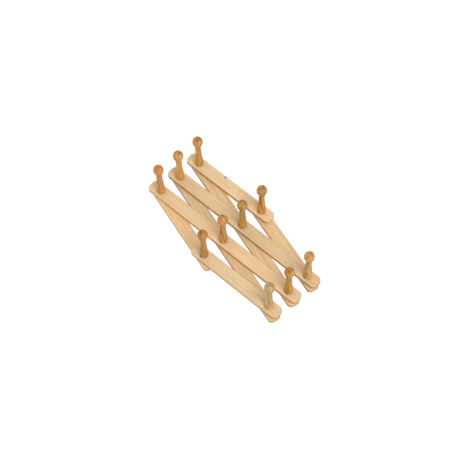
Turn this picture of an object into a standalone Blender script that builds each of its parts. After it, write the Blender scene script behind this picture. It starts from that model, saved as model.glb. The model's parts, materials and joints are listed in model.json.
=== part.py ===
"""Expanding wall peg rack: eight wooden slats in a lazy-tongs lattice with ten turned pegs.

Metres, +Z up. The wall is the plane Y = 0 and the pegs point along -Y. The origin is on the wall
plane, behind the top middle peg, which is the pivot that stays still when the rack opens.
Rows and columns are named as seen from the front, with +X to the right.
"""
import math

import bmesh
import bpy

# Driving dimensions
HOLE_PITCH = 0.150                     # distance between neighbouring pivots along a slat
TILT = math.radians(8.5)               # lean of every slat from the vertical, at rest
SLAT_WIDTH = 0.024
SLAT_THICKNESS = 0.010
SLAT_OVERHANG = 0.024                  # from the last pivot to the slat's tip
SLAT_NOSE = 0.0105                     # length of the rounded end
NOSE_EXPONENT = 3.0                    # 2 is an ellipse, more is blunter
NOSE_STEPS = 12
GAP = 0.0003                           # air between neighbouring pieces

PEG_BASE_RADIUS = 0.0080
PEG_NECK_RADIUS = 0.0053
PEG_NECK_HEIGHT = 0.048                # above the peg's shoulder
HEAD_RADIUS = 0.0093
HEAD_HALF_LENGTH = 0.0120
HEAD_CENTRE = 0.074                    # above the peg's shoulder
CHIN_LENGTH = 0.0020                   # between the neck's end and the head
CHIN_FLARE = 0.0004
TENON_RADIUS = 0.0045
SHOULDER_EASE = 0.0006                 # softened rim of the peg's foot

WASHER_RADIUS = 0.0060
WASHER_HOLE_RADIUS = 0.0022
WASHER_THICKNESS = 0.0010
SCREW_HEAD_RADIUS = 0.0041
SCREW_HEAD_THICKNESS = 0.0020
SCREW_HEAD_EASE = 0.0004
SCREW_RADIUS = 0.0016
SCREW_LENGTH = 0.022                   # under the head
SCREW_TIP_LENGTH = 0.004
PILOT_SPARE = 0.001                    # pilot hole left beyond the screw's tip

# Worked out from the driving dimensions
COLUMN_STEP = 2 * HOLE_PITCH * math.sin(TILT)
ROW_STEP = HOLE_PITCH * math.cos(TILT)
BORE_RADIUS = TENON_RADIUS + GAP
COUNTERBORE_RADIUS = WASHER_RADIUS + GAP
COUNTERBORE_DEPTH = SCREW_HEAD_THICKNESS + WASHER_THICKNESS + 2 * GAP
FRONT_LAYER_BACK = SLAT_THICKNESS + GAP
SHOULDER = FRONT_LAYER_BACK + SLAT_THICKNESS + GAP     # the peg's shoulder, in front of the wall
PILOT_RADIUS = SCREW_RADIUS + GAP
PILOT_END = SCREW_HEAD_THICKNESS + SCREW_LENGTH + PILOT_SPARE

SIDES = 16                             # facets of a turned peg and of a bore
SMALL_SIDES = 12                       # facets of a washer and of a screw
BODY_STEPS = 4                         # rings up a peg's tapered body
HEAD_STEPS = 10                        # arcs from the head's chin to its tip
CUTTER_CLEARANCE = 0.002               # how far a cutter runs past the faces that it opens
SHARP_ANGLE = math.radians(40)

ROW_LEVEL = {"top": 0, "middle": 1, "bottom": 2}
ROW_SHIFT = {"top": 1.0, "middle": 1.5, "bottom": 1.0}
FRONT_HINGES = [("bottom", 0), ("middle", 1), ("top", 1), ("top", 2)]
BACK_HINGES = [("top", 0), ("top", 1), ("middle", 2), ("bottom", 2)]
FIXED_PIVOT = ("top", 1)


def clear_scene():
    for obj in list(bpy.data.objects):
        bpy.data.objects.remove(obj, do_unlink=True)


def material(name, colour, roughness, metallic=0.0):
    mat = bpy.data.materials.new(name)
    mat.use_nodes = True
    shader = mat.node_tree.nodes["Principled BSDF"]
    shader.inputs["Base Color"].default_value = (*colour, 1.0)
    shader.inputs["Roughness"].default_value = roughness
    shader.inputs["Metallic"].default_value = metallic
    return mat


def add_object(name, bm, mat, smooth=False):
    mesh = bpy.data.meshes.new(name)
    bmesh.ops.recalc_face_normals(bm, faces=bm.faces)
    bm.to_mesh(mesh)
    bm.free()
    if smooth:
        mesh.shade_smooth()
        mesh.set_sharp_from_angle(angle=SHARP_ANGLE)
    obj = bpy.data.objects.new(name, mesh)
    bpy.context.scene.collection.objects.link(obj)
    if mat:
        obj.data.materials.append(mat)
    return obj


def turned(profile, sides):
    """A closed solid of revolution about Y. The profile is (distance in front of the wall, radius)."""
    bm = bmesh.new()
    rings = []
    for depth, radius in profile:
        if radius == 0:
            rings.append([bm.verts.new((0, -depth, 0))])
            continue
        ring = []
        for i in range(sides):
            angle = 2 * math.pi * i / sides
            ring.append(bm.verts.new((radius * math.cos(angle), -depth, radius * math.sin(angle))))
        rings.append(ring)
    closed = len(rings[0]) > 1
    pairs = list(zip(rings, rings[1:]))
    if closed:
        pairs.append((rings[-1], rings[0]))
    for first, second in pairs:
        for i in range(sides):
            j = (i + 1) % sides
            corners = [first[i % len(first)], first[j % len(first)],
                       second[j % len(second)], second[i % len(second)]]
            unique = list(dict.fromkeys(corners))
            bm.faces.new(unique)
    return bm


def smoothstep(value):
    return value * value * (3 - 2 * value)


def peg_radius(height):
    """Radius of the tapered body, which is widest at the shoulder and narrowest at the neck."""
    share = min(height / PEG_NECK_HEIGHT, 1.0)
    return PEG_BASE_RADIUS + (PEG_NECK_RADIUS - PEG_BASE_RADIUS) * smoothstep(share)


def peg_profile():
    """From the pilot hole's bottom, out along the tenon, over the body and up to the head's tip."""
    tenon_end = COUNTERBORE_DEPTH
    profile = [(PILOT_END, 0), (PILOT_END, PILOT_RADIUS), (tenon_end, PILOT_RADIUS)]
    profile += [(tenon_end, TENON_RADIUS), (SHOULDER, TENON_RADIUS)]
    profile += [(SHOULDER, PEG_BASE_RADIUS - SHOULDER_EASE)]
    for step in range(BODY_STEPS + 1):
        height = SHOULDER_EASE + (PEG_NECK_HEIGHT - SHOULDER_EASE) * step / BODY_STEPS
        profile.append((SHOULDER + height, peg_radius(height)))
    chin = HEAD_CENTRE - HEAD_HALF_LENGTH - CHIN_LENGTH
    profile.append((SHOULDER + chin, PEG_NECK_RADIUS + CHIN_FLARE))
    for step in range(2, HEAD_STEPS):
        angle = math.pi * step / HEAD_STEPS - math.pi / 2
        depth = SHOULDER + HEAD_CENTRE + HEAD_HALF_LENGTH * math.sin(angle)
        profile.append((depth, HEAD_RADIUS * math.cos(angle)))
    profile.append((SHOULDER + HEAD_CENTRE + HEAD_HALF_LENGTH, 0))
    return profile


def washer_profile():
    near = SCREW_HEAD_THICKNESS + GAP
    far = near + WASHER_THICKNESS
    return [(near, WASHER_HOLE_RADIUS), (near, WASHER_RADIUS), (far, WASHER_RADIUS), (far, WASHER_HOLE_RADIUS)]


def screw_profile():
    end = SCREW_HEAD_THICKNESS + SCREW_LENGTH
    return [(0, 0), (0, SCREW_HEAD_RADIUS - SCREW_HEAD_EASE), (SCREW_HEAD_EASE, SCREW_HEAD_RADIUS),
            (SCREW_HEAD_THICKNESS, SCREW_HEAD_RADIUS), (SCREW_HEAD_THICKNESS, SCREW_RADIUS),
            (end - SCREW_TIP_LENGTH, SCREW_RADIUS), (end, 0)]


def pivot(row, column):
    x = (column - ROW_SHIFT[row]) * COLUMN_STEP
    return x, -ROW_LEVEL[row] * ROW_STEP


def front_pivots(index):
    """Pivots of a front slat, which leans to the left as it rises."""
    chain = [("top", index - 1), ("middle", index), ("bottom", index)]
    return [(row, column) for row, column in chain if row == "middle" or 0 <= column <= 2]


def back_pivots(index):
    """Pivots of a back slat, which leans to the right as it rises."""
    chain = [("top", index), ("middle", index), ("bottom", index - 1)]
    return [(row, column) for row, column in chain if row == "middle" or 0 <= column <= 2]


def slat_outline(low, high):
    """Points of a straight bar along Z with rounded ends, in order round its edge."""
    points = []
    half = SLAT_WIDTH / 2
    for centre, sign in ((high + SLAT_OVERHANG - SLAT_NOSE, 1), (low - SLAT_OVERHANG + SLAT_NOSE, -1)):
        for step in range(NOSE_STEPS + 1):
            angle = math.pi * step / NOSE_STEPS
            across = math.copysign(abs(math.cos(angle)) ** (2 / NOSE_EXPONENT), math.cos(angle))
            along = math.sin(angle) ** (2 / NOSE_EXPONENT) if 0 < step < NOSE_STEPS else 0.0
            points.append((sign * half * across, centre + sign * SLAT_NOSE * along))
    return points


def slat_body(low, high, back):
    """A bar between the distances 'back' and 'back' + thickness in front of the wall."""
    bm = bmesh.new()
    verts = [bm.verts.new((x, -back, z)) for x, z in slat_outline(low, high)]
    face = bm.faces.new(verts)
    extruded = bmesh.ops.extrude_face_region(bm, geom=[face])
    moved = [item for item in extruded["geom"] if isinstance(item, bmesh.types.BMVert)]
    bmesh.ops.translate(bm, verts=moved, vec=(0, -SLAT_THICKNESS, 0))
    return bm


def bore_cutter(name, heights, back, counterbored, parent):
    """One hidden cutter with a bore, and for a back slat a counterbore, at each pivot."""
    bm = bmesh.new()
    near = back - CUTTER_CLEARANCE
    far = back + SLAT_THICKNESS + CUTTER_CLEARANCE
    for height in heights:
        profile = [(near, 0), (near, BORE_RADIUS), (far, BORE_RADIUS), (far, 0)]
        if counterbored:
            floor = back + COUNTERBORE_DEPTH
            profile[1:2] = [(near, COUNTERBORE_RADIUS), (floor, COUNTERBORE_RADIUS), (floor, BORE_RADIUS)]
        one = turned(profile, SIDES)
        bmesh.ops.translate(one, verts=one.verts, vec=(0, 0, height))
        piece = bpy.data.meshes.new(name)
        one.to_mesh(piece)
        one.free()
        bm.from_mesh(piece)
        bpy.data.meshes.remove(piece)
    cutter = add_object(name, bm, None)
    cutter.hide_render = True
    cutter.display_type = "WIRE"
    cutter.parent = parent
    return cutter


def make_slat(name, pivots, hinge, lean, back, counterbored, mat):
    """A slat whose origin is its hinge, leaning by 'lean' about Y."""
    first_level = ROW_LEVEL[hinge[0]]
    heights = [(first_level - ROW_LEVEL[row]) * HOLE_PITCH for row, _ in pivots]
    slat = add_object(name, slat_body(min(heights), max(heights), back), mat)
    x, z = pivot(*hinge)
    slat.location = (x, 0, z)
    slat.rotation_euler = (0, lean, 0)
    cutter = bore_cutter(name + "_cutter", heights, back, counterbored, slat)
    cut = slat.modifiers.new("bores", "BOOLEAN")
    cut.operation = "DIFFERENCE"
    cut.solver = "EXACT"
    cut.object = cutter
    return slat, dict(zip(pivots, heights))


def peg_label(row, column):
    if row == "middle":
        return f"middle_{column + 1}"
    return f"{row}_{('left', 'centre', 'right')[column]}"


def add_pivot_hardware(place, parent, height, meshes):
    """A peg, its washer and its screw on one pivot, riding on the front slat or standing alone."""
    label = peg_label(*place)
    for kind in ("peg", "washer", "screw"):
        obj = bpy.data.objects.new(f"{kind}_{label}", meshes[kind])
        bpy.context.scene.collection.objects.link(obj)
        if parent:
            obj.parent = parent
            obj.location = (0, 0, height)
        else:
            x, z = pivot(*place)
            obj.location = (x, 0, z)


def turned_mesh(name, profile, sides, mat):
    obj = add_object(name, turned(profile, sides), mat, smooth=True)
    mesh = obj.data
    bpy.data.objects.remove(obj)
    return mesh


def build():
    clear_scene()
    pine = material("pine_slat", (0.73, 0.51, 0.29), 0.55)
    turned_wood = material("turned_peg", (0.55, 0.29, 0.09), 0.45)
    zinc = material("zinc_plated_steel", (0.55, 0.56, 0.58), 0.35, metallic=1.0)
    meshes = {
        "peg": turned_mesh("peg", peg_profile(), SIDES, turned_wood),
        "washer": turned_mesh("washer", washer_profile(), SMALL_SIDES, zinc),
        "screw": turned_mesh("screw", screw_profile(), SMALL_SIDES, zinc),
    }
    for index in range(4):
        hinge = FRONT_HINGES[index]
        slat, heights = make_slat(f"front_slat_{index + 1}", front_pivots(index), hinge,
                                  -TILT, FRONT_LAYER_BACK, False, pine)
        for place, height in heights.items():
            fixed = place == FIXED_PIVOT
            add_pivot_hardware(place, None if fixed else slat, height, meshes)
    for index in range(4):
        make_slat(f"back_slat_{index + 1}", back_pivots(index), BACK_HINGES[index],
                  TILT, 0.0, True, pine)


build()
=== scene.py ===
import json
import math
from typing import NamedTuple

import bmesh
import bpy
from mathutils import Matrix, Vector


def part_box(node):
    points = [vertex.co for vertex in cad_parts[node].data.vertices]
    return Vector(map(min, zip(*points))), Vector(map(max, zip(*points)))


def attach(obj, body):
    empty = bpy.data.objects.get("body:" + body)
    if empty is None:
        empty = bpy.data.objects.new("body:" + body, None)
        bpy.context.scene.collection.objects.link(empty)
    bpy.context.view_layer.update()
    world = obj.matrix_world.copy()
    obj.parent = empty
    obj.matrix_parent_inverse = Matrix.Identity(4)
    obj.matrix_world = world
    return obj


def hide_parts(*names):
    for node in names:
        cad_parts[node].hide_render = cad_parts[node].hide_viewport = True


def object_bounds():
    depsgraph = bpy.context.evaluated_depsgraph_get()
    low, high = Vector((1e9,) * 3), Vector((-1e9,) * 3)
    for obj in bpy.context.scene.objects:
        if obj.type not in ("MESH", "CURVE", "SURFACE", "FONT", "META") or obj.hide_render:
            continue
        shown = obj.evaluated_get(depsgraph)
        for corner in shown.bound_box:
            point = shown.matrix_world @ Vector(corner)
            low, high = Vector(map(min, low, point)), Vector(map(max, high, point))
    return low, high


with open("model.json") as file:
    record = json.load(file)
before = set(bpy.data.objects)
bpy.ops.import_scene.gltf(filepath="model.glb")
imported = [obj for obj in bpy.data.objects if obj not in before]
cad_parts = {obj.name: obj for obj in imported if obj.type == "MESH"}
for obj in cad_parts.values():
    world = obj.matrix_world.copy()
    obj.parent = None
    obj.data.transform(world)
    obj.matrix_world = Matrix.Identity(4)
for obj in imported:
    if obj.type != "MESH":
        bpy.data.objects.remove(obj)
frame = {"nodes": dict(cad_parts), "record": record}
CAD_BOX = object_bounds()

# Sizes that the frame doesn't state, in metres
LAYER_GAP = 0.0003                     # air between the front slats and the pegs' shoulders
SLAT_WIDTH = 0.024
SLAT_OVERHANG = 0.0238                 # from the last pivot to the slat's tip
SLAT_NOSE = 0.0105                     # length of the rounded end
NOSE_EXPONENT = 3.0                    # 2 is an ellipse, more is blunter
SLAT_EDGE_RADIUS = 0.0014
BORE_RADIUS = 0.0048
COUNTERBORE_RADIUS = 0.0063
COUNTERBORE_DEPTH = 0.0036
CUTTER_CLEARANCE = 0.002               # how far a cutter runs past the faces that it opens

PEG_BASE_RADIUS = 0.0080
PEG_NECK_RADIUS = 0.0053
PEG_NECK_HEIGHT = 0.048                # above the peg's shoulder
HEAD_RADIUS = 0.0093
HEAD_HALF_LENGTH = 0.0120
HEAD_CENTRE = 0.074                    # above the peg's shoulder
CHIN_ANGLE = -61                       # degrees; where the neck runs into the head
CHIN_SWEEP = 4                         # more keeps the neck slim for longer before the chin
TIP_ANGLE = 84
FOOT_EASE = 0.0007
TENON_RADIUS = 0.0045
TENON_EASE = 0.0003
PILOT_RADIUS = 0.0019
PILOT_END = 0.025
PILOT_POINT = 0.0005                   # half the depth of the drilled hole's cone

WASHER_RADIUS = 0.0060
WASHER_HOLE_RADIUS = 0.0022
WASHER_EASE = 0.00015
SCREW_HEAD_THICKNESS = 0.0020
SCREW_HEAD_RADIUS = 0.0041
SCREW_HEAD_EASE = 0.0005
SCREW_CORE_RADIUS = 0.0011
SCREW_THREAD_RADIUS = 0.0016
SCREW_PITCH = 0.0014
SCREW_TIP_LENGTH = 0.004
SCREW_TIP_SHARE = 0.08                 # radius left at the very tip
THREAD_HALF_WIDTH = 0.28               # share of the pitch
SHANK_OVERLAP = 0.0003                 # how far the shank starts inside the head
RECESS_ARM = 0.0021
RECESS_WIDTH = 0.0008
RECESS_DEPTH = 0.0011
RECESS_OVERRUN = 0.0004
RECESS_MOUTH = 1.12                    # the slot is wider at its mouth than at its floor
RECESS_FLOOR = 0.62

# Fineness of the meshes
SHARP_ANGLE = math.radians(38)
NOSE_STEPS = 20
EASE_STEPS = 4
BODY_STEPS = 24
CHIN_STEPS = 9
HEAD_STEPS = 26
BORE_SIDES = 48
PEG_SIDES = 56
FASTENER_SIDES = 40
SHANK_SIDES = 24
ROWS_PER_TURN = 8                      # rings of the shank to one turn of its thread


# ---------------------------------------------------------------- where the frame puts things

def box_centre(node):
    low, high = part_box(node)
    return (Vector(low) + Vector(high)) / 2


PEG_NODES = sorted(name for name in frame["nodes"] if name.startswith("peg_"))
PIVOTS = {name[len("peg_"):]: box_centre(name) for name in PEG_NODES}
SHOULDER = -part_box("front_slat_1")[0][1] + LAYER_GAP
PEG_TIP = SHOULDER + HEAD_CENTRE + HEAD_HALF_LENGTH
COLUMN_STEP = PIVOTS["top_centre"].x - PIVOTS["top_left"].x
ROW_STEP = PIVOTS["top_centre"].z - PIVOTS["middle_1"].z
SLAT_LEAN = math.atan2(COLUMN_STEP / 2, ROW_STEP)
NODE_BODY = {node: body for body, nodes in frame["record"]["behaviour"]["bodies"].items() for node in nodes}


def slat_labels(layer, index):
    """The pivots that a slat passes through, from top to bottom."""
    side = ("left", "centre", "right")
    top, bottom = (index - 2, index - 1) if layer == "front" else (index - 1, index - 2)
    labels = []
    if 0 <= top <= 2:
        labels.append("top_" + side[top])
    labels.append(f"middle_{index}")
    if 0 <= bottom <= 2:
        labels.append("bottom_" + side[bottom])
    return labels


# ---------------------------------------------------------------- node helpers

class Nodes:
    """Short calls for building one material's node tree."""

    def __init__(self, name):
        self.material = bpy.data.materials.new(name)
        self.material.use_nodes = True
        self.tree = self.material.node_tree
        self.shader = self.tree.nodes["Principled BSDF"]

    def put(self, socket, value):
        if isinstance(value, bpy.types.NodeSocket):
            self.tree.links.new(value, socket)
        else:
            socket.default_value = value

    def add(self, kind, output=0, **inputs):
        node = self.tree.nodes.new(kind)
        for key, value in inputs.items():
            self.put(node.inputs[key.replace("_", " ")], value)
        return node.outputs[output]

    def math(self, operation, *values):
        node = self.tree.nodes.new("ShaderNodeMath")
        node.operation = operation
        for socket, value in zip(node.inputs, values):
            self.put(socket, value)
        return node.outputs[0]

    def times(self, first, second):
        return self.math("MULTIPLY", first, second)

    def vector_math(self, operation, *values):
        node = self.tree.nodes.new("ShaderNodeVectorMath")
        node.operation = operation
        for socket, value in zip(node.inputs, values):
            self.put(socket, value)
        return node.outputs["Value" if operation == "LENGTH" else "Vector"]

    def place(self, location=(0, 0, 0), rotation=(0, 0, 0), scale=(1, 1, 1), vector=None):
        if vector is None:
            vector = self.add("ShaderNodeTexCoord", "Object")
        return self.add("ShaderNodeMapping", Vector=vector, Location=location, Rotation=rotation, Scale=scale)

    def noise(self, vector, scale, detail=3.0, roughness=0.55):
        return self.add("ShaderNodeTexNoise", Vector=vector, Scale=scale, Detail=detail, Roughness=roughness)

    def long_noise(self, vector, scale, stretch, shift, detail=3.0, roughness=0.55):
        """Noise drawn out along Z. A smaller stretch makes it longer."""
        space = self.place(location=shift, scale=(1, 1, stretch), vector=vector)
        return self.noise(space, scale, detail, roughness)

    def remap(self, value, low, high, to_low=0.0, to_high=1.0):
        node = self.tree.nodes.new("ShaderNodeMapRange")
        node.interpolation_type = "SMOOTHSTEP"
        for socket, item in zip(node.inputs, (value, low, high, to_low, to_high)):
            self.put(socket, item)
        return node.outputs[0]

    def mix(self, factor, first, second, blend="MIX"):
        node = self.tree.nodes.new("ShaderNodeMix")
        node.data_type = "RGBA"
        node.blend_type = blend
        self.put(node.inputs[0], factor)
        self.put(node.inputs[6], first)
        self.put(node.inputs[7], second)
        return node.outputs[2]

    def bump(self, height, strength, distance, normal=None):
        inputs = {"Height": height, "Strength": strength, "Distance": distance}
        if normal is not None:
            inputs["Normal"] = normal
        return self.add("ShaderNodeBump", **inputs)


# ---------------------------------------------------------------- materials

def rgba(red, green, blue):
    return (red, green, blue, 1.0)


class Timber(NamedTuple):
    """One piece's wood. 'turn' brings its grain onto Z. 'trunk' says where the tree's axis runs beside
    the piece, as two distances in metres and a tilt. 'spacing' is the width of one growth ring."""
    pale: tuple
    dark: tuple
    trunk: tuple
    spacing: float
    seed: float
    contrast: float
    roughness: float
    turn: tuple


# Painted shade: a deeper, warmer tone multiplied onto the slats' side and end faces
SIDE_SHADE_TONE = rgba(0.98, 0.78, 0.52)
# Painted highlight, laid in patches on the slats' eased edges
EDGE_HIGHLIGHT_TONE = rgba(0.66, 0.47, 0.28)
KNOT_TONE = rgba(0.20, 0.085, 0.025)
WOOD_SPECULAR = 0.36
RING_DRIFT = 0.004                     # how far the rings wander from true circles, in metres
RING_RELIEF = 0.00012
FIBRE_RELIEF = 0.00010

ZINC_DARK = rgba(0.50, 0.51, 0.53)
ZINC_PALE = rgba(0.68, 0.68, 0.67)
ZINC_DULLED = rgba(0.44, 0.40, 0.30)
ZINC_RELIEF = 0.00004


def growth_rings(nodes, vector, spacing):
    """Saw-shaped growth rings round the local Z axis: pale early wood that darkens to a late-wood line."""
    drift = nodes.long_noise(vector, 38.0, 0.12, (0, 0, 0), detail=2.0)
    centred = nodes.vector_math("SUBTRACT", drift, (0.5, 0.5, 0.5))
    wander = nodes.vector_math("MULTIPLY", centred, (RING_DRIFT, RING_DRIFT, 0))
    flat = nodes.vector_math("MULTIPLY", nodes.vector_math("ADD", vector, wander), (1, 1, 0))
    radius = nodes.vector_math("LENGTH", flat)
    phase = nodes.math("FRACT", nodes.math("DIVIDE", radius, spacing))
    rise = nodes.remap(phase, 0.25, 0.86)
    fall = nodes.remap(phase, 0.90, 1.0, 1.0, 0.0)
    return nodes.times(rise, fall)


def knot_masks(nodes, grain, centre, size):
    """The knot itself, and how far it pushes the growth rings round it aside."""
    offset = nodes.vector_math("SUBTRACT", grain, centre)
    reach = nodes.vector_math("LENGTH", nodes.vector_math("MULTIPLY", offset, (1, 1, 0.62)))
    core = nodes.remap(reach, size * 0.35, size, 1.0, 0.0)
    halo = nodes.remap(reach, size * 0.5, size * 3.6, 1.0, 0.0)
    push = nodes.vector_math("SCALE", (1, 0.4, 0))
    nodes.put(push.node.inputs["Scale"], nodes.times(halo, size * 0.9))
    return core, push


def edge_masks(nodes):
    """Two masks from the piece's own normals: its side and end faces, for painted shade, and the eased edges
    next to them, for a painted highlight.
    """
    split = nodes.tree.nodes.new("ShaderNodeSeparateXYZ")
    nodes.put(split.inputs[0], nodes.add("ShaderNodeTexCoord", "Normal"))
    facing = nodes.math("ABSOLUTE", split.outputs["Y"])
    sides = nodes.remap(facing, 0.15, 0.70, 1.0, 0.0)
    eased_edge_highlight_mask = nodes.times(nodes.remap(facing, 0.35, 0.75), nodes.remap(facing, 0.90, 0.99, 1.0, 0.0))
    return sides, eased_edge_highlight_mask


def wood_colour(nodes, grain, rings, fibres, clouds, timber, streak_start):
    """Rings, darker streaks, pale and warm clouds, fine fibres and short dark flecks, one over another."""
    pale, dark, seed = timber.pale, timber.dark, timber.seed
    deep = rgba(*(channel * 0.72 for channel in dark))
    light = rgba(*(min(channel * 1.16, 0.95) for channel in pale))
    warm = rgba(pale[0] * 1.04, pale[1] * 0.92, pale[2] * 0.82)

    colour = nodes.mix(nodes.times(rings, timber.contrast), rgba(*pale), rgba(*dark))
    streaks = nodes.long_noise(grain, 210.0, 0.05, (seed, 0, 0))
    streak_mask = nodes.remap(streaks, streak_start, streak_start + 0.26)
    colour = nodes.mix(nodes.times(streak_mask, timber.contrast * 0.8), colour, deep)
    colour = nodes.mix(nodes.times(nodes.remap(clouds, 0.42, 0.72), 0.55), colour, light)
    warmth = nodes.long_noise(grain, 17.0, 0.35, (seed, 0, seed), detail=2.0)
    colour = nodes.mix(nodes.times(nodes.remap(warmth, 0.44, 0.66), 0.55), colour, warm)
    shade = nodes.remap(fibres, 0.30, 0.70, 0.90, 1.06)
    shade_colour = nodes.add("ShaderNodeCombineColor", Red=shade, Green=shade, Blue=shade)
    colour = nodes.mix(1.0, colour, shade_colour, blend="MULTIPLY")
    flecks = nodes.long_noise(grain, 620.0, 0.09, (seed * 2, 0, 0), detail=1.0)
    return nodes.mix(nodes.times(nodes.remap(flecks, 0.69, 0.76), 0.4), colour, deep)


def slat_shade_and_highlight(nodes, colour, clouds):
    """Painted shade, a deeper and warmer tone, on the sawn sides and ends, and a painted highlight in patches
    on the eased edges.
    """
    sides, eased_edge_highlight_mask = edge_masks(nodes)
    # painted shade: the side and end faces are darkened and warmed
    colour = nodes.mix(nodes.times(sides, 0.85), colour, SIDE_SHADE_TONE, blend="MULTIPLY")
    # painted highlight: a lighter tone on the eased edges, in patches
    painted_highlight_share = nodes.times(eased_edge_highlight_mask, nodes.remap(clouds, 0.30, 0.60, 0.30, 0.70))
    return nodes.mix(painted_highlight_share, colour, EDGE_HIGHLIGHT_TONE)


def peg_finish(nodes, colour, grain, timber):
    """Blotchy dark end grain that fades from the head's tip."""
    dark, seed = timber.dark, timber.seed
    from_tip = nodes.vector_math("LENGTH", nodes.vector_math("SUBTRACT", grain, (0, 0, PEG_TIP)))
    tip = nodes.remap(from_tip, 0.0030, 0.0125, 1.0, 0.0)
    blot_space = nodes.place(location=(seed, seed, 0), vector=grain)
    blot = nodes.remap(nodes.noise(blot_space, 170.0, detail=2.0), 0.36, 0.64, 0.35, 1.0)
    end_grain = rgba(dark[0] * 0.85, dark[1] * 0.75, dark[2] * 0.8)
    return nodes.mix(nodes.times(nodes.times(tip, blot), 0.9), colour, end_grain)


def wood(name, timber, knot=None, flat=False):
    """Sanded softwood for a flat slat or a turned peg."""
    nodes = Nodes(name)
    seed = timber.seed
    grain = nodes.place(rotation=timber.turn)
    trunk_x, trunk_y, tilt = timber.trunk
    ring_space = nodes.place(location=(trunk_x, trunk_y, seed * 0.31), rotation=(tilt, tilt * 0.6, 0),
                             vector=grain)
    if knot:
        knot_core, push = knot_masks(nodes, grain, *knot)
        ring_space = nodes.vector_math("ADD", ring_space, push)
    rings = growth_rings(nodes, ring_space, timber.spacing)
    fibres = nodes.long_noise(grain, 1500.0, 0.018, (seed, seed * 0.7, 0), detail=4.0, roughness=0.6)
    clouds = nodes.long_noise(grain, 26.0, 0.3, (0, seed, 0), detail=2.0)

    colour = wood_colour(nodes, grain, rings, fibres, clouds, timber, 0.50 if flat else 0.44)
    if knot:
        colour = nodes.mix(nodes.times(knot_core, 0.85), colour, KNOT_TONE)
    if flat:
        # paints shade on the slats' sides and ends and a highlight on their eased edges
        colour = slat_shade_and_highlight(nodes, colour, clouds)
    else:
        colour = peg_finish(nodes, colour, grain, timber)
    nodes.put(nodes.shader.inputs["Base Color"], colour)

    dullness = nodes.remap(fibres, 0.2, 0.8, timber.roughness + 0.08, timber.roughness - 0.06)
    dullness = nodes.math("SUBTRACT", dullness, nodes.times(rings, 0.07))
    nodes.put(nodes.shader.inputs["Roughness"], dullness)
    nodes.put(nodes.shader.inputs["Specular IOR Level"], WOOD_SPECULAR)
    relief = nodes.bump(rings, 0.30, RING_RELIEF)
    nodes.put(nodes.shader.inputs["Normal"], nodes.bump(fibres, 0.35, FIBRE_RELIEF, relief))
    return nodes.material


def zinc(name, seed):
    """Zinc-plated steel with a fine spangle and dulled patches."""
    nodes = Nodes(name)
    place = nodes.place(location=(seed, 0, seed * 0.4))
    spangle = nodes.noise(place, 900.0, detail=2.0)
    patches = nodes.noise(place, 260.0, detail=3.0)
    colour = nodes.mix(nodes.remap(spangle, 0.35, 0.65), ZINC_DARK, ZINC_PALE)
    colour = nodes.mix(nodes.times(nodes.remap(patches, 0.5, 0.75), 0.4), colour, ZINC_DULLED)
    nodes.put(nodes.shader.inputs["Base Color"], colour)
    nodes.put(nodes.shader.inputs["Metallic"], 1.0)
    nodes.put(nodes.shader.inputs["Roughness"], nodes.remap(patches, 0.3, 0.7, 0.24, 0.46))
    nodes.put(nodes.shader.inputs["Normal"], nodes.bump(spangle, 0.2, ZINC_RELIEF))
    return nodes.material


# ---------------------------------------------------------------- mesh helpers

def link_object(name, bm, material):
    mesh = bpy.data.meshes.new(name)
    bmesh.ops.recalc_face_normals(bm, faces=bm.faces)
    bm.to_mesh(mesh)
    bm.free()
    obj = bpy.data.objects.new(name, mesh)
    bpy.context.scene.collection.objects.link(obj)
    if material:
        mesh.materials.append(material)
    return obj


def bake(obj, modifier):
    """Puts the modifier's result into the object's mesh."""
    bpy.context.view_layer.update()
    mesh = bpy.data.meshes.new_from_object(obj.evaluated_get(bpy.context.evaluated_depsgraph_get()))
    obj.modifiers.remove(modifier)
    obj.data = mesh


def smooth(obj):
    """Smooth shading that leaves the broad faces flat."""
    obj.data.shade_smooth()
    obj.data.set_sharp_from_angle(angle=SHARP_ANGLE)
    weighted = obj.modifiers.new("weighted", "WEIGHTED_NORMAL")
    weighted.keep_sharp = True
    weighted.weight = 100
    bake(obj, weighted)


def lathe(profile, sides):
    """A closed solid turned about Y. The profile is (distance in front of the wall, radius)."""
    bm = bmesh.new()
    rings = []
    for depth, radius in profile:
        count = sides if radius > 0 else 1
        ring = []
        for i in range(count):
            angle = 2 * math.pi * i / sides
            ring.append(bm.verts.new((radius * math.cos(angle), -depth, radius * math.sin(angle))))
        rings.append(ring)
    pairs = list(zip(rings, rings[1:]))
    if len(rings[0]) > 1:
        pairs.append((rings[-1], rings[0]))
    for first, second in pairs:
        for i in range(sides):
            corners = [first[i % len(first)], first[(i + 1) % sides % len(first)],
                       second[(i + 1) % sides % len(second)], second[i % len(second)]]
            bm.faces.new(list(dict.fromkeys(corners)))
    return bm


def arc(centre, radii, start, end, steps):
    """Points of an elliptical arc in the profile plane, both ends included. Angles are in degrees."""
    points = []
    for step in range(steps + 1):
        angle = math.radians(start + (end - start) * step / steps)
        points.append((centre[0] + radii[0] * math.sin(angle), centre[1] + radii[1] * math.cos(angle)))
    return points


def combine(obj, other, operation):
    """Works the other object's shape into obj, by a Boolean operation, and removes the other object."""
    modifier = obj.modifiers.new("combine", "BOOLEAN")
    modifier.operation = operation
    modifier.solver = "EXACT"
    modifier.object = other
    bake(obj, modifier)
    bpy.data.objects.remove(other)


# ---------------------------------------------------------------- slats

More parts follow.
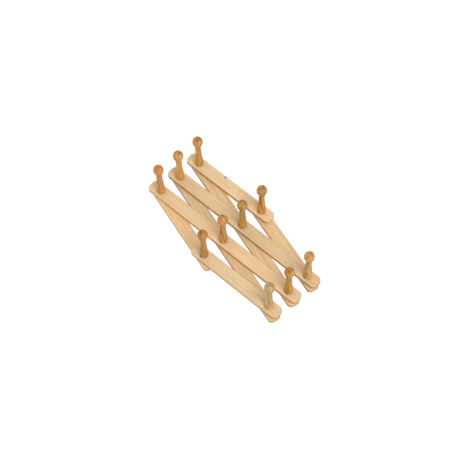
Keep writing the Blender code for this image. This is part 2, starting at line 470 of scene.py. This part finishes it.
def slat_outline(low, high):
    """Points of a straight bar along Z with rounded ends, in order round its edge."""
    points = []
    half = SLAT_WIDTH / 2
    for centre, sign in ((high + SLAT_OVERHANG - SLAT_NOSE, 1), (low - SLAT_OVERHANG + SLAT_NOSE, -1)):
        for step in range(NOSE_STEPS + 1):
            angle = math.pi * step / NOSE_STEPS
            across = math.copysign(abs(math.cos(angle)) ** (2 / NOSE_EXPONENT), math.cos(angle))
            along = math.sin(angle) ** (2 / NOSE_EXPONENT) if 0 < step < NOSE_STEPS else 0.0
            points.append((sign * half * across, centre + sign * SLAT_NOSE * along))
    return points


def slat_blank(low, high, back, thickness):
    """A flat bar with rounded ends and eased edges, without its bores."""
    bm = bmesh.new()
    face = bm.faces.new([bm.verts.new((x, -back, z)) for x, z in slat_outline(low, high)])
    extruded = bmesh.ops.extrude_face_region(bm, geom=[face])
    moved = [item for item in extruded["geom"] if isinstance(item, bmesh.types.BMVert)]
    bmesh.ops.translate(bm, verts=moved, vec=(0, -thickness, 0))
    rim = [edge for edge in bm.edges if abs(edge.verts[0].co.y - edge.verts[1].co.y) < 1e-6]
    bmesh.ops.bevel(bm, geom=rim, offset=SLAT_EDGE_RADIUS, segments=EASE_STEPS, profile=0.5, affect="EDGES")
    return bm


def bore_cutters(name, heights, back, thickness, counterbored):
    """One object with a bore, and for a back slat a counterbore, at each height."""
    near, far = back - CUTTER_CLEARANCE, back + thickness + CUTTER_CLEARANCE
    profile = [(near, 0), (near, BORE_RADIUS), (far, BORE_RADIUS), (far, 0)]
    if counterbored:
        floor = back + COUNTERBORE_DEPTH
        profile[1:2] = [(near, COUNTERBORE_RADIUS), (floor, COUNTERBORE_RADIUS), (floor, BORE_RADIUS)]
    joined = bmesh.new()
    for height in heights:
        one = lathe(profile, BORE_SIDES)
        bmesh.ops.translate(one, verts=one.verts, vec=(0, 0, height))
        piece = bpy.data.meshes.new(name)
        one.to_mesh(piece)
        one.free()
        joined.from_mesh(piece)
        bpy.data.meshes.remove(piece)
    return link_object(name, joined, None)


def make_slat(layer, index, material):
    node = f"{layer}_slat_{index}"
    points = [PIVOTS[label] for label in slat_labels(layer, index)]
    low_point, high_point = points[-1], points[0]
    direction = high_point - low_point
    lean = math.atan2(direction.x, direction.z)
    low_corner, high_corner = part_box(node)
    back, thickness = -high_corner[1], high_corner[1] - low_corner[1]
    heights = [math.hypot(point.x - low_point.x, point.z - low_point.z) for point in points]
    slat = link_object(f"pine_{node}", slat_blank(0.0, max(heights), back, thickness), material)
    combine(slat, bore_cutters(node + "_bores", heights, back, thickness, layer == "back"), "DIFFERENCE")
    slat.data.transform(Matrix.Rotation(lean, 4, "Y"))
    smooth(slat)
    slat.location = (low_point.x, 0, low_point.z)
    bpy.context.view_layer.update()
    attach(slat, NODE_BODY[node])
    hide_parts(node)
    return slat


# ---------------------------------------------------------------- pegs

def peg_radius(height):
    """Radius of the tapered body, which is widest at the shoulder and narrowest at the neck."""
    share = min(height / PEG_NECK_HEIGHT, 1.0)
    return PEG_BASE_RADIUS + (PEG_NECK_RADIUS - PEG_BASE_RADIUS) * share * share * (3 - 2 * share)


def chin_profile(chin):
    """The neck's run from the body's end into the head's chin."""
    neck_depth = SHOULDER + PEG_NECK_HEIGHT
    points = []
    for step in range(1, CHIN_STEPS):
        share = step / CHIN_STEPS
        depth = neck_depth + (chin[0] - neck_depth) * share
        points.append((depth, PEG_NECK_RADIUS + (chin[1] - PEG_NECK_RADIUS) * share ** CHIN_SWEEP))
    return points


def peg_profile():
    """From the pilot hole's bottom, along the tenon, over the flared body and neck, to the head's tip."""
    profile = [(PILOT_END + PILOT_POINT, 0), (PILOT_END - PILOT_POINT, PILOT_RADIUS)]
    profile += [(COUNTERBORE_DEPTH, PILOT_RADIUS), (COUNTERBORE_DEPTH, TENON_RADIUS - TENON_EASE)]
    profile += [(COUNTERBORE_DEPTH + TENON_EASE, TENON_RADIUS), (SHOULDER, TENON_RADIUS)]
    foot = (SHOULDER + FOOT_EASE, PEG_BASE_RADIUS - FOOT_EASE)
    profile += arc(foot, (FOOT_EASE, FOOT_EASE), -90, -10, EASE_STEPS)
    for step in range(1, BODY_STEPS + 1):
        height = FOOT_EASE + (PEG_NECK_HEIGHT - FOOT_EASE) * step / BODY_STEPS
        profile.append((SHOULDER + height, peg_radius(height)))
    head = SHOULDER + HEAD_CENTRE
    head_arc = arc((head, 0), (HEAD_HALF_LENGTH, HEAD_RADIUS), CHIN_ANGLE, TIP_ANGLE, HEAD_STEPS)
    profile += chin_profile(head_arc[0])
    profile += head_arc
    profile.append((head + HEAD_HALF_LENGTH, 0))
    return profile


def place_turned(obj, label, node):
    point = PIVOTS[label]
    obj.matrix_world = Matrix.Translation((point.x, 0, point.z))
    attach(obj, NODE_BODY[node])
    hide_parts(node)


def make_peg(label, material):
    peg = link_object(f"turned_peg_{label}", lathe(peg_profile(), PEG_SIDES), material)
    smooth(peg)
    place_turned(peg, label, f"peg_{label}")


# ---------------------------------------------------------------- screws and washers

def washer_profile():
    low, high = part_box("washer_top_centre")
    near, far = -high[1], -low[1]
    hole, rim = WASHER_HOLE_RADIUS, WASHER_RADIUS
    return [(near, hole + WASHER_EASE), (near, rim - WASHER_EASE), (near + WASHER_EASE, rim),
            (far - WASHER_EASE, rim), (far, rim - WASHER_EASE), (far, hole + WASHER_EASE),
            (far - WASHER_EASE, hole), (near + WASHER_EASE, hole)]


def shank_radius(depth, turn, end):
    """Radius of the shank, which follows the thread's helix and the tip's cone, at a share of a turn."""
    phase = (depth / SCREW_PITCH - turn) % 1.0
    crest = max(0.0, 1 - abs(phase - 0.5) / THREAD_HALF_WIDTH)
    taper = min((end - depth) / SCREW_TIP_LENGTH, 1.0)
    radius = SCREW_CORE_RADIUS + (SCREW_THREAD_RADIUS - SCREW_CORE_RADIUS) * crest
    return radius * max(taper, SCREW_TIP_SHARE)


def threaded_shank(start, end):
    """A cone-tipped wood-screw shank."""
    bm = bmesh.new()
    rows = int((end - start) / SCREW_PITCH * ROWS_PER_TURN)
    rings = []
    for row in range(rows + 1):
        depth = start + (end - start) * row / rows
        ring = []
        for i in range(SHANK_SIDES):
            angle = 2 * math.pi * i / SHANK_SIDES
            radius = shank_radius(depth, i / SHANK_SIDES, end)
            ring.append(bm.verts.new((radius * math.cos(angle), -depth, radius * math.sin(angle))))
        rings.append(ring)
    for first, second in zip(rings, rings[1:]):
        for i in range(SHANK_SIDES):
            j = (i + 1) % SHANK_SIDES
            bm.faces.new((first[i], first[j], second[j], second[i]))
    bm.faces.new(rings[-1])
    bm.faces.new(list(reversed(rings[0])))
    return bm


def screw_head():
    thick, radius, ease = SCREW_HEAD_THICKNESS, SCREW_HEAD_RADIUS, SCREW_HEAD_EASE
    rim = arc((ease, radius - ease), (ease, ease), -90, 0, EASE_STEPS)
    return [(0, 0)] + rim + [(thick, radius), (thick, 0)]


def recess_cutter(half_x, half_z):
    """One arm of the tapered cross slot of a screw head."""
    bm = bmesh.new()
    corners = []
    for depth, scale in ((-RECESS_OVERRUN, RECESS_MOUTH), (RECESS_DEPTH, RECESS_FLOOR)):
        for sx, sz in ((-1, -1), (1, -1), (1, 1), (-1, 1)):
            corners.append(bm.verts.new((sx * half_x * scale, -depth, sz * half_z * scale)))
    for a, b in ((0, 1), (1, 2), (2, 3), (3, 0)):
        bm.faces.new((corners[a], corners[b], corners[b + 4], corners[a + 4]))
    bm.faces.new(corners[:4])
    bm.faces.new(corners[4:])
    return bm


def taken_mesh(obj):
    """The object's mesh, with the object itself removed."""
    mesh = obj.data
    bpy.data.objects.remove(obj)
    return mesh


def screw_mesh():
    end = -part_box("screw_top_centre")[0][1]
    screw = link_object("screw_blank", lathe(screw_head(), FASTENER_SIDES), None)
    shank = link_object("screw_shank", threaded_shank(SCREW_HEAD_THICKNESS - SHANK_OVERLAP, end), None)
    combine(screw, shank, "UNION")
    half_width = RECESS_WIDTH / 2
    for half_x, half_z in ((RECESS_ARM, half_width), (half_width, RECESS_ARM)):
        combine(screw, link_object("screw_recess", recess_cutter(half_x, half_z), None), "DIFFERENCE")
    smooth(screw)
    return taken_mesh(screw)


def washer_mesh():
    washer = link_object("washer_blank", lathe(washer_profile(), FASTENER_SIDES), None)
    smooth(washer)
    return taken_mesh(washer)


def make_fastener(kind, label, mesh, material):
    own = mesh.copy()
    own.materials.clear()
    own.materials.append(material)
    piece = bpy.data.objects.new(f"steel_{kind}_{label}", own)
    bpy.context.scene.collection.objects.link(piece)
    place_turned(piece, label, f"{kind}_{label}")


# ---------------------------------------------------------------- the object

PINE = (0.635, 0.455, 0.262)
PINE_DARK = (0.44, 0.27, 0.12)
BACK_PINE = (0.640, 0.462, 0.250)
PINE_CONTRAST = 0.42
PINE_ROUGHNESS = 0.55
BACK_SEED_SHIFT = 4.5
KNOTTED_SLAT = ("front", 1)
KNOT_SIZE = 0.0026
KNOT_CENTRE = (-0.0095, -SHOULDER, 0.056)

PEG_TONES = {
    "orange": ((0.60, 0.315, 0.078), (0.30, 0.095, 0.009)),
    "brown": ((0.56, 0.265, 0.060), (0.22, 0.062, 0.006)),
    "yellow": ((0.57, 0.350, 0.112), (0.34, 0.165, 0.030)),
    "olive": ((0.57, 0.315, 0.062), (0.28, 0.130, 0.014)),
    "straw": ((0.64, 0.430, 0.175), (0.37, 0.195, 0.045)),
}
PEG_RING = 0.0026
PEG_CONTRAST = 0.8
PEG_ROUGHNESS = 0.42
PEG_WOODS = {
    "bottom_left": "orange", "bottom_centre": "orange", "bottom_right": "orange",
    "middle_1": "orange", "middle_2": "olive", "middle_3": "orange", "middle_4": "brown",
    "top_left": "yellow", "top_centre": "orange", "top_right": "straw",
}


def tinted(colour, seed, amount=0.05):
    """The colour a little lighter or darker, and a little redder or yellower, by the piece's seed."""
    lift = 1 + amount * math.sin(seed * 2.3)
    warmth = amount * 0.6 * math.cos(seed * 3.7)
    return (colour[0] * lift, colour[1] * lift * (1 - warmth), colour[2] * lift * (1 - 2 * warmth))


def slat_timber(layer, index):
    """Each slat is sawn from its own place in the tree, so no two show the same rings."""
    front = layer == "front"
    seed = index + (0.0 if front else BACK_SEED_SHIFT)
    sideways = 0.020 + 0.012 * math.sin(seed * 1.9)
    trunk = (sideways, 0.045 + 0.02 * math.cos(seed), 0.012 * math.sin(seed * 4.1))
    spacing = 0.0034 + 0.0008 * math.sin(seed * 5.3)
    pale = tinted(PINE if front else BACK_PINE, seed)
    upright = (0, SLAT_LEAN if front else -SLAT_LEAN, 0)
    return Timber(pale, tinted(PINE_DARK, seed), trunk, spacing, seed, PINE_CONTRAST, PINE_ROUGHNESS, upright)


def peg_timber(label, seed):
    pale, dark = PEG_TONES[PEG_WOODS[label]]
    trunk = (0.017 + 0.005 * math.sin(seed), 0.008 * math.cos(seed * 1.3), 0.04 * math.sin(seed * 2.1))
    outward = (-math.pi / 2, 0, 0)
    return Timber(tinted(pale, seed), tinted(dark, seed), trunk, PEG_RING, seed, PEG_CONTRAST, PEG_ROUGHNESS,
                  outward)


def build_slats():
    for layer in ("front", "back"):
        for index in range(1, 5):
            knot = (KNOT_CENTRE, KNOT_SIZE) if (layer, index) == KNOTTED_SLAT else None
            pine = wood(f"pine_{layer}_{index}", slat_timber(layer, index), knot, flat=True)
            make_slat(layer, index, pine)


def build_hardware():
    screw = screw_mesh()
    washer = washer_mesh()
    for number, label in enumerate(sorted(PIVOTS)):
        seed = number * 1.7 + 0.6
        make_peg(label, wood(f"peg_wood_{label}", peg_timber(label, seed)))
        metal = zinc(f"zinc_{label}", seed)
        make_fastener("washer", label, washer, metal)
        make_fastener("screw", label, screw, metal)


# ---------------------------------------------------------------- studio and camera

# The camera's direction is measured from the lattice: VIEW_RISE above its plane, VIEW_TURN round its normal.
VIEW_TURN = math.radians(-39.0)
VIEW_RISE = math.radians(63.0)
VIEW_ROLL = math.radians(-1.3)
VIEW_DISTANCE = 2.166
VIEW_SLIDE = (-0.0036, 0.0047)         # of the lattice's middle in the picture, to the right and up
LENS = 93.8                            # millimetres, on a sensor of SENSOR_WIDTH
SENSOR_WIDTH = 36.0

CLIP_END = 100.0

# Name, where it stands, strength and apparent size in degrees
SUNS = [
    ("key", (0.08, -0.90, 0.42), 2.0, 24),
    ("fill", (0.90, -0.25, 0.10), 0.55, 60),
    ("overhead", (-0.1, -0.15, 1.0), 1.7, 40),
]
AMBIENT = 0.30
FLOOR_DROP = 0.45                      # the rack hangs clear of the floor, as on a wall
FLOOR_SIZE = 60.0
FLOOR_ROUGHNESS = 0.9
FLOOR_SPECULAR = 0.1


def lattice_to_wall(vector):
    """The lattice's own axes are: along the expansion, across it, and out along the pegs."""
    along, across, out = vector
    return Vector((-along, -out, -across))


def add_camera():
    side, rise = math.sin(VIEW_TURN), math.sin(VIEW_RISE)
    forward, level = math.cos(VIEW_TURN), math.cos(VIEW_RISE)
    back = lattice_to_wall((side * level, -forward * level, rise))
    right = lattice_to_wall((forward, side, 0.0))
    up = back.cross(right)
    right_rolled = right * math.cos(VIEW_ROLL) + up * math.sin(VIEW_ROLL)
    up_rolled = up * math.cos(VIEW_ROLL) - right * math.sin(VIEW_ROLL)
    middle = (PIVOTS["middle_2"] + PIVOTS["middle_3"]) / 2
    target = Vector((middle.x, -SHOULDER, middle.z))
    place = target + back * VIEW_DISTANCE - right_rolled * VIEW_SLIDE[0] - up_rolled * VIEW_SLIDE[1]
    camera = bpy.data.objects.new("camera", bpy.data.cameras.new("camera"))
    bpy.context.scene.collection.objects.link(camera)
    camera.data.lens = LENS
    camera.data.sensor_width = SENSOR_WIDTH
    camera.data.clip_end = CLIP_END
    rotation = Matrix((right_rolled, up_rolled, back)).transposed()
    camera.matrix_world = Matrix.Translation(place) @ rotation.to_4x4()
    bpy.context.scene.camera = camera


def add_sun(name, towards, strength, spread):
    light = bpy.data.lights.new(name, "SUN")
    light.energy = strength
    light.angle = math.radians(spread)
    lamp = bpy.data.objects.new(name, light)
    bpy.context.scene.collection.objects.link(lamp)
    lamp.rotation_mode = "QUATERNION"
    lamp.rotation_quaternion = Vector(towards).to_track_quat("Z", "Y")


def add_backdrop():
    """A world that is white behind the rack but lights it only softly."""
    world = bpy.data.worlds.new("studio")
    bpy.context.scene.world = world
    world.use_nodes = True
    tree = world.node_tree
    background = tree.nodes["Background"]
    path = tree.nodes.new("ShaderNodeLightPath")
    level = tree.nodes.new("ShaderNodeMapRange")
    level.inputs["To Min"].default_value = AMBIENT
    level.inputs["To Max"].default_value = 1.0
    tree.links.new(path.outputs["Is Camera Ray"], level.inputs["Value"])
    tree.links.new(level.outputs[0], background.inputs["Strength"])
    background.inputs["Color"].default_value = (1.0, 1.0, 1.0, 1.0)
    bpy.context.scene.view_settings.view_transform = "Standard"


def add_floor():
    nodes = Nodes("pale_floor")
    tone = nodes.remap(nodes.noise(nodes.place(), 0.8), 0.3, 0.7, 0.93, 0.95)
    grey = nodes.add("ShaderNodeCombineColor", Red=tone, Green=tone, Blue=tone)
    nodes.put(nodes.shader.inputs["Base Color"], grey)
    nodes.put(nodes.shader.inputs["Roughness"], FLOOR_ROUGHNESS)
    nodes.put(nodes.shader.inputs["Specular IOR Level"], FLOOR_SPECULAR)
    bm = bmesh.new()
    bmesh.ops.create_grid(bm, x_segments=1, y_segments=1, size=FLOOR_SIZE)
    floor = link_object("floor", bm, nodes.material)
    floor.location.z = CAD_BOX[0].z - FLOOR_DROP


add_camera()
build_slats()
build_hardware()
add_backdrop()
for sun in SUNS:
    add_sun(*sun)
add_floor()
